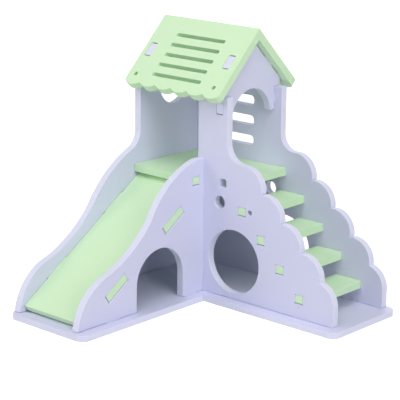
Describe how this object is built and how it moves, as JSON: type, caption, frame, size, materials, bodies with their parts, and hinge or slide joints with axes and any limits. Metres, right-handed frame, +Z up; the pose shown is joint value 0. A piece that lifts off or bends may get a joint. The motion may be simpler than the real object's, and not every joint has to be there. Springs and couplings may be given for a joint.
{
  "type": "wooden hamster house",
  "caption": "Flat-pack playhouse for a hamster: a gabled tower with a slide wing and a stair wing on an L-shaped base, boards locked by tabs in mortises.",
  "frame": {"origin": "middle of the tower on the underside of the base board", "axes": "+Z up, +X along the stair wing away from the tower, -Y along the slide wing away from the tower"},
  "size_m": [0.3035, 0.3197, 0.3062],
  "materials": {
    "lilac_board": "smooth matt paint on board, lilac",
    "mint_board": "smooth matt paint on board, mint green"
  },
  "bodies": {
    "root": {"base_board": "lilac_board", "slide_outer_wall": "lilac_board", "slide_inner_wall": "lilac_board", "stair_outer_wall": "lilac_board", "stair_inner_wall": "lilac_board", "gable_panel": "lilac_board", "roof_panel_front": "mint_board", "roof_panel_back": "mint_board", "upper_floor": "mint_board", "slide_board": "mint_board", "stair_tread_1": "mint_board", "stair_tread_2": "mint_board", "stair_tread_3": "mint_board", "stair_tread_4": "mint_board"}
  },
  "joints": []
}
